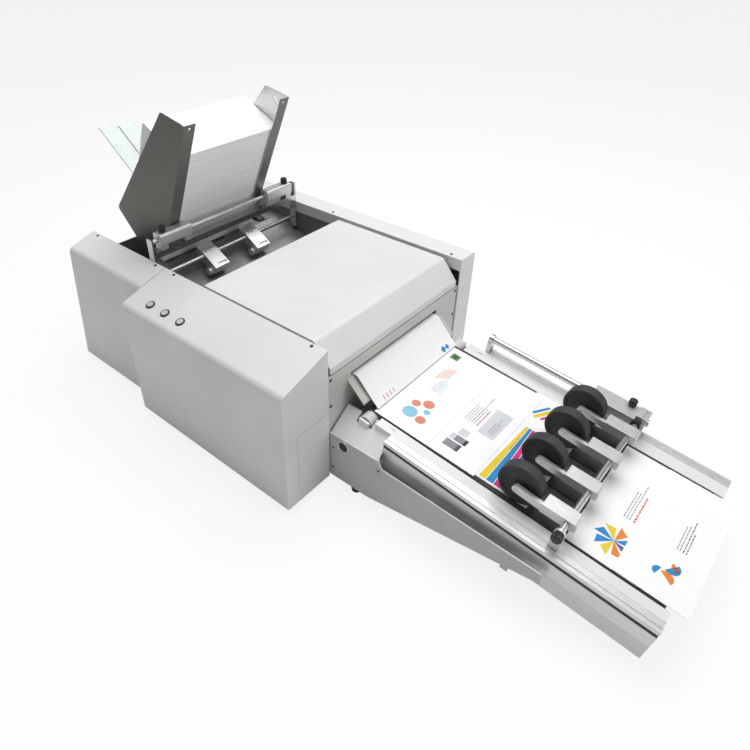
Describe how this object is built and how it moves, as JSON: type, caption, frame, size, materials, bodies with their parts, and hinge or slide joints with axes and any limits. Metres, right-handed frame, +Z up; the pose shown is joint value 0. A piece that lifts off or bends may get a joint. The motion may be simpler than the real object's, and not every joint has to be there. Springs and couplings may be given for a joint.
{
  "type": "envelope printer",
  "caption": "Tabletop envelope printer with a leaning hopper feeder, side guides, lift-up top cover and a downhill belt conveyor with kick wheels",
  "frame": {"origin": "Middle of the footprint, on the desk under the feet", "axes": "+X along the envelopes' travel, from the hopper to the conveyor's end; +Y away from the operator's side with the buttons; +Z up"},
  "size_m": [1.3648, 0.537, 0.5504],
  "materials": {
    "cover_paint": "satin",
    "end_plate_paint": "satin",
    "steel_sheet": "satin",
    "stainless": "brushed",
    "shaft_steel": "polished",
    "aluminium": "satin",
    "conveyor_paint": "satin",
    "ramp_plastic": "frosted",
    "black_rubber": "matte",
    "black_plastic": "matte",
    "tank_plastic": "gloss",
    "button_plastic": "gloss",
    "motor_metal": "matte",
    "screw_steel": "satin",
    "board_laminate": "gloss",
    "paper": "matte"
  },
  "bodies": {
    "printer_body": {"base_chassis": "steel_sheet", "rubber_feet": "black_rubber", "near_side_frame": "steel_sheet", "far_side_frame": "steel_sheet", "near_rear_cover": "cover_paint", "control_cover": "cover_paint", "far_side_cover": "cover_paint", "output_end_plate": "end_plate_paint", "exit_chute": "aluminium", "feed_deck": "steel_sheet", "guide_bar": "shaft_steel", "separator_shaft": "shaft_steel", "platen": "steel_sheet", "print_head": "black_plastic", "ink_tanks": "tank_plastic", "main_board": "board_laminate", "power_supply": "steel_sheet", "drive_motor": "motor_metal", "drive_belts": "black_rubber", "power_inlet": "black_plastic", "cover_screws": "screw_steel", "envelope_stack": "paper", "printed_envelopes": "paper", "conveyor_chassis": "conveyor_paint", "near_rail": "aluminium", "far_rail": "aluminium", "side_bar": "shaft_steel", "conveyor_belts": "black_rubber"},
    "lid": {"top_cover": "cover_paint"},
    "ramp": {"rear_ramp": "ramp_plastic"},
    "near_guide": {"near_guide_clamp": "aluminium", "near_guide_plate": "stainless"},
    "far_guide": {"far_guide_clamp": "aluminium", "far_guide_plate": "stainless"},
    "near_guide_screw": {"near_guide_knob": "black_plastic"},
    "far_guide_screw": {"far_guide_knob": "black_plastic"},
    "near_sheet_separator": {"near_separator": "aluminium"},
    "far_sheet_separator": {"far_separator": "aluminium"},
    "feed_roller_set": {"feed_rollers": "black_rubber"},
    "exit_roller_set": {"exit_roller": "black_rubber"},
    "motor_rotor": {"motor_shaft": "shaft_steel"},
    "rocker_switch": {"power_switch": "black_plastic"},
    "first_button": {"button_1": "button_plastic"},
    "second_button": {"button_2": "button_plastic"},
    "third_button": {"button_3": "button_plastic"},
    "belt_drive_roller": {"conveyor_drive_roller": "shaft_steel"},
    "belt_idler_roller": {"conveyor_idler_roller": "shaft_steel"},
    "wheel_carriage": {"carriage_shaft": "shaft_steel", "near_carriage_clamp": "aluminium", "far_carriage_clamp": "aluminium"},
    "near_carriage_screw": {"near_carriage_knob": "black_plastic"},
    "far_carriage_screw": {"far_carriage_knob": "black_plastic"},
    "wheel_arm_1": {"arm_1": "aluminium"},
    "kick_wheel_1": {"wheel_1": "black_rubber"},
    "wheel_arm_2": {"arm_2": "aluminium"},
    "kick_wheel_2": {"wheel_2": "black_rubber"},
    "wheel_arm_3": {"arm_3": "aluminium"},
    "kick_wheel_3": {"wheel_3": "black_rubber"},
    "wheel_arm_4": {"arm_4": "aluminium"},
    "kick_wheel_4": {"wheel_4": "black_rubber"}
  },
  "joints": [
    {"name": "top_cover_hinge", "type": "hinge", "parent": "printer_body", "child": "lid", "pos_m": [-0.1776, 0.0275, 0.251], "axis": [0, 1, 0], "range_deg": [-72, 0]},
    {"name": "ramp_slide", "type": "slide", "parent": "printer_body", "child": "ramp", "axis": [-0.7986, 0, 0.6018], "range_m": [0, 0.04]},
    {"name": "near_guide_slide", "type": "slide", "parent": "printer_body", "child": "near_guide", "axis": [0, 1, 0], "range_m": [-0.013, 0]},
    {"name": "far_guide_slide", "type": "slide", "parent": "printer_body", "child": "far_guide", "axis": [0, 1, 0], "range_m": [0, 0.014]},
    {"name": "near_guide_knob_turn", "type": "hinge", "parent": "near_guide", "child": "near_guide_screw", "pos_m": [-0.3246, -0.1342, 0.335], "axis": [0, 0, 1], "range_deg": [0, 360]},
    {"name": "far_guide_knob_turn", "type": "hinge", "parent": "far_guide", "child": "far_guide_screw", "pos_m": [-0.3246, 0.1892, 0.335], "axis": [0, 0, 1], "range_deg": [0, 360]},
    {"name": "near_separator_lift", "type": "hinge", "parent": "printer_body", "child": "near_sheet_separator", "pos_m": [-0.3286, -0.0285, 0.248], "axis": [0, 1, 0], "range_deg": [-25, 0]},
    {"name": "far_separator_lift", "type": "hinge", "parent": "printer_body", "child": "far_sheet_separator", "pos_m": [-0.3286, 0.0875, 0.248], "axis": [0, 1, 0], "range_deg": [-25, 0]},
    {"name": "motor_turn", "type": "hinge", "parent": "printer_body", "child": "motor_rotor", "pos_m": [-0.1826, -0.1645, 0.135], "axis": [0, 1, 0], "continuous": true},
    {"name": "feed_roller_turn", "type": "hinge", "parent": "printer_body", "child": "feed_roller_set", "pos_m": [-0.39559, 0.0255, 0.2291], "axis": [0, 1, 0], "continuous": true},
    {"name": "exit_roller_turn", "type": "hinge", "parent": "printer_body", "child": "exit_roller_set", "pos_m": [0.0934, 0.0255, 0.1883], "axis": [0, 1, 0], "continuous": true},
    {"name": "power_switch_rock", "type": "hinge", "parent": "printer_body", "child": "rocker_switch", "pos_m": [-0.5226, 0.1485, 0.066], "axis": [0, 1, 0], "range_deg": [-25, 0]},
    {"name": "button_1_press", "type": "slide", "parent": "printer_body", "child": "first_button", "axis": [0, 0.2957, -0.9553], "range_m": [0, 0.0015], "stiffness_N_per_m": 600, "springref_m": -0.001},
    {"name": "button_2_press", "type": "slide", "parent": "printer_body", "child": "second_button", "axis": [0, 0.2957, -0.9553], "range_m": [0, 0.0015], "stiffness_N_per_m": 600, "springref_m": -0.001},
    {"name": "button_3_press", "type": "slide", "parent": "printer_body", "child": "third_button", "axis": [0, 0.2957, -0.9553], "range_m": [0, 0.0015], "stiffness_N_per_m": 600, "springref_m": -0.001},
    {"name": "conveyor_roller_turn", "type": "hinge", "parent": "printer_body", "child": "belt_drive_roller", "pos_m": [0.16313, 0.0215, 0.13559], "axis": [0, 1, 0], "continuous": true},
    {"name": "conveyor_idler_turn", "type": "hinge", "parent": "printer_body", "child": "belt_idler_roller", "pos_m": [0.63856, 0.0215, 0.07721], "axis": [0, 1, 0], "continuous": true},
    {"name": "wheel_carriage_slide", "type": "slide", "parent": "printer_body", "child": "wheel_carriage", "axis": [0.9925, 0, -0.1219], "range_m": [-0.15, 0]},
    {"name": "near_carriage_knob_turn", "type": "hinge", "parent": "wheel_carriage", "child": "near_carriage_screw", "pos_m": [0.50665, -0.1332, 0.14346], "axis": [0, 1, 0], "range_deg": [0, 360]},
    {"name": "far_carriage_knob_turn", "type": "hinge", "parent": "wheel_carriage", "child": "far_carriage_screw", "pos_m": [0.48506, 0.1928, 0.14813], "axis": [0.1219, 0, 0.9925], "range_deg": [0, 360]},
    {"name": "arm_1_lift", "type": "hinge", "parent": "wheel_carriage", "child": "wheel_arm_1", "pos_m": [0.50665, -0.09735, 0.14346], "axis": [0, 1, 0], "range_deg": [0, 60]},
    {"name": "wheel_1_turn", "type": "hinge", "parent": "wheel_arm_1", "child": "kick_wheel_1", "pos_m": [0.4276, -0.09135, 0.15609], "axis": [0, 1, 0], "continuous": true},
    {"name": "arm_2_lift", "type": "hinge", "parent": "wheel_carriage", "child": "wheel_arm_2", "pos_m": [0.50665, -0.02335, 0.14346], "axis": [0, 1, 0], "range_deg": [0, 60]},
    {"name": "wheel_2_turn", "type": "hinge", "parent": "wheel_arm_2", "child": "kick_wheel_2", "pos_m": [0.4276, -0.01735, 0.15609], "axis": [0, 1, 0], "continuous": true},
    {"name": "arm_3_lift", "type": "hinge", "parent": "wheel_carriage", "child": "wheel_arm_3", "pos_m": [0.50665, 0.05565, 0.14346], "axis": [0, 1, 0], "range_deg": [0, 60]},
    {"name": "wheel_3_turn", "type": "hinge", "parent": "wheel_arm_3", "child": "kick_wheel_3", "pos_m": [0.4276, 0.06165, 0.15609], "axis": [0, 1, 0], "continuous": true},
    {"name": "arm_4_lift", "type": "hinge", "parent": "wheel_carriage", "child": "wheel_arm_4", "pos_m": [0.50665, 0.12565, 0.14346], "axis": [0, 1, 0], "range_deg": [0, 60]},
    {"name": "wheel_4_turn", "type": "hinge", "parent": "wheel_arm_4", "child": "kick_wheel_4", "pos_m": [0.4276, 0.13165, 0.15609], "axis": [0, 1, 0], "continuous": true}
  ],
  "couplings": [
    {"joint": "feed_roller_turn", "follows": "motor_turn", "ratio": 1},
    {"joint": "exit_roller_turn", "follows": "motor_turn", "ratio": 1},
    {"joint": "conveyor_idler_turn", "follows": "conveyor_roller_turn", "ratio": 1}
  ]
}
